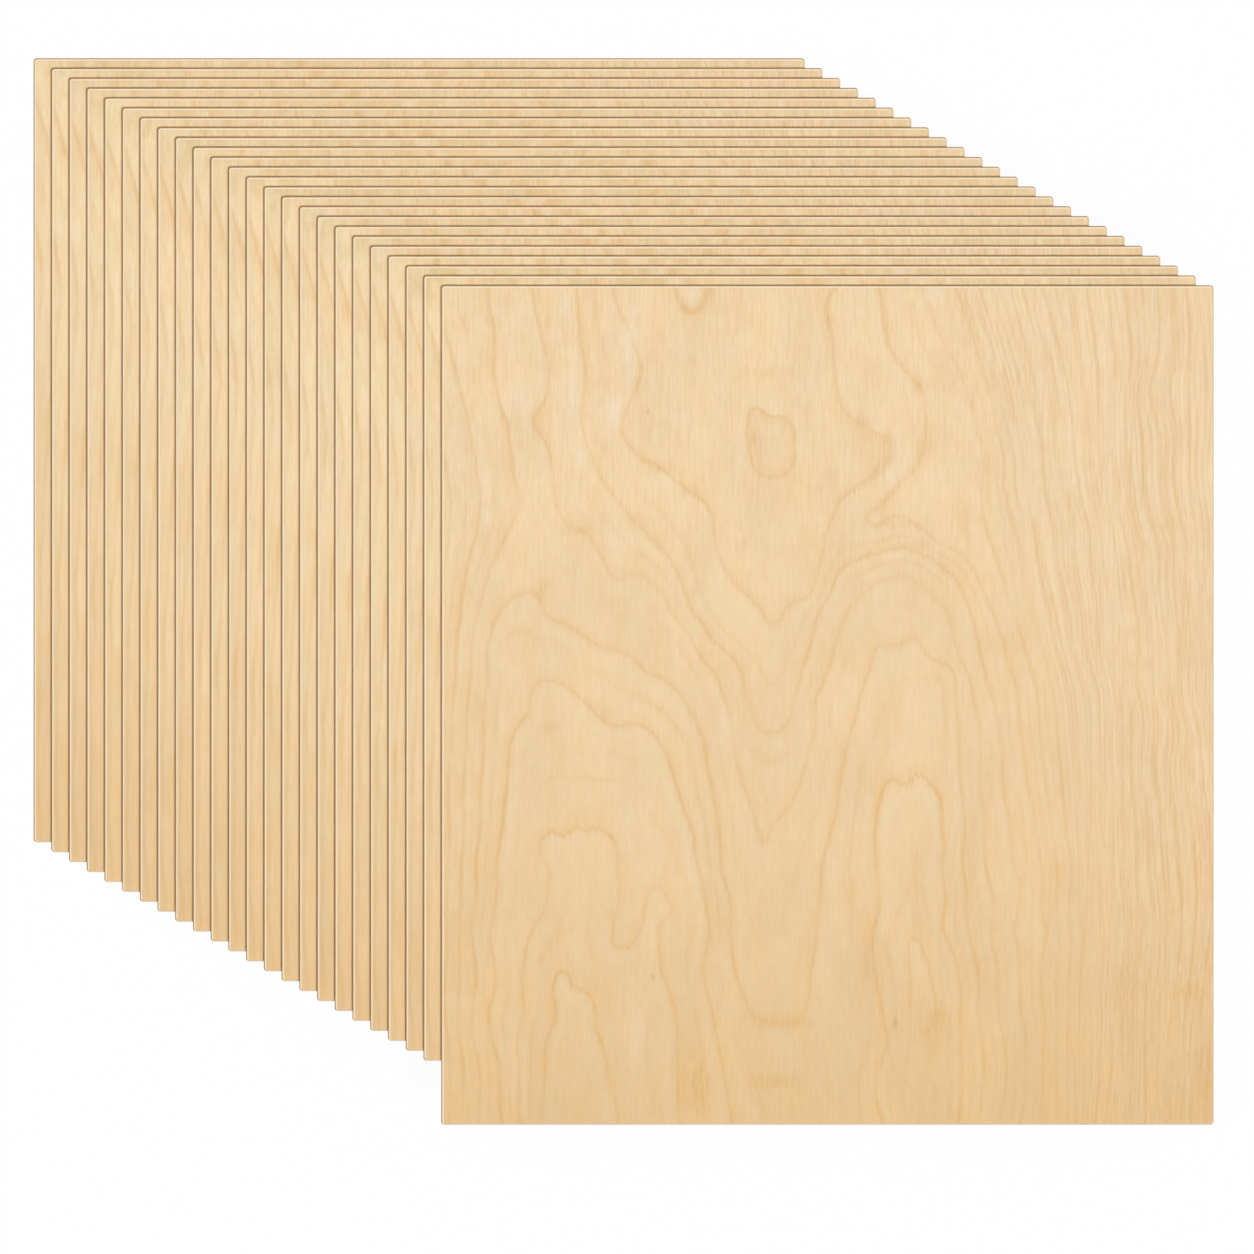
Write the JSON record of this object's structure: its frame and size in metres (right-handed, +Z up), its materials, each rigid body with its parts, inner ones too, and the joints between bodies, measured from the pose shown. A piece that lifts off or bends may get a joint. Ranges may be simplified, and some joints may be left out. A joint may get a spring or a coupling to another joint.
{
  "type": "stack of plywood sheets",
  "caption": "Stack of thin pale plywood sheets lying flat, fanned in even steps so that each shows a strip along two edges, with a longer sheet on top.",
  "frame": {"origin": "middle of the stack's bounding box, on its underside", "axes": "+Z up through the sheets, +X across the face grain, the way the fan steps sideways, +Y along the face grain, towards the back edges that the fan leaves showing"},
  "size_m": [0.4588, 0.4146, 0.036],
  "materials": {
    "plywood": "pale rotary-cut veneer, sanded and unfinished, with thin plies on the edges"
  },
  "bodies": {
    "root": {"sheet_01": "plywood", "sheet_02": "plywood", "sheet_03": "plywood", "sheet_04": "plywood", "sheet_05": "plywood", "sheet_06": "plywood", "sheet_07": "plywood", "sheet_08": "plywood", "sheet_09": "plywood", "sheet_10": "plywood", "sheet_11": "plywood", "sheet_12": "plywood", "sheet_13": "plywood", "sheet_14": "plywood", "sheet_15": "plywood", "sheet_16": "plywood", "sheet_17": "plywood", "sheet_18": "plywood", "sheet_19": "plywood", "sheet_20": "plywood", "sheet_21": "plywood", "sheet_22": "plywood", "sheet_23": "plywood", "top_sheet": "plywood"}
  },
  "joints": []
}
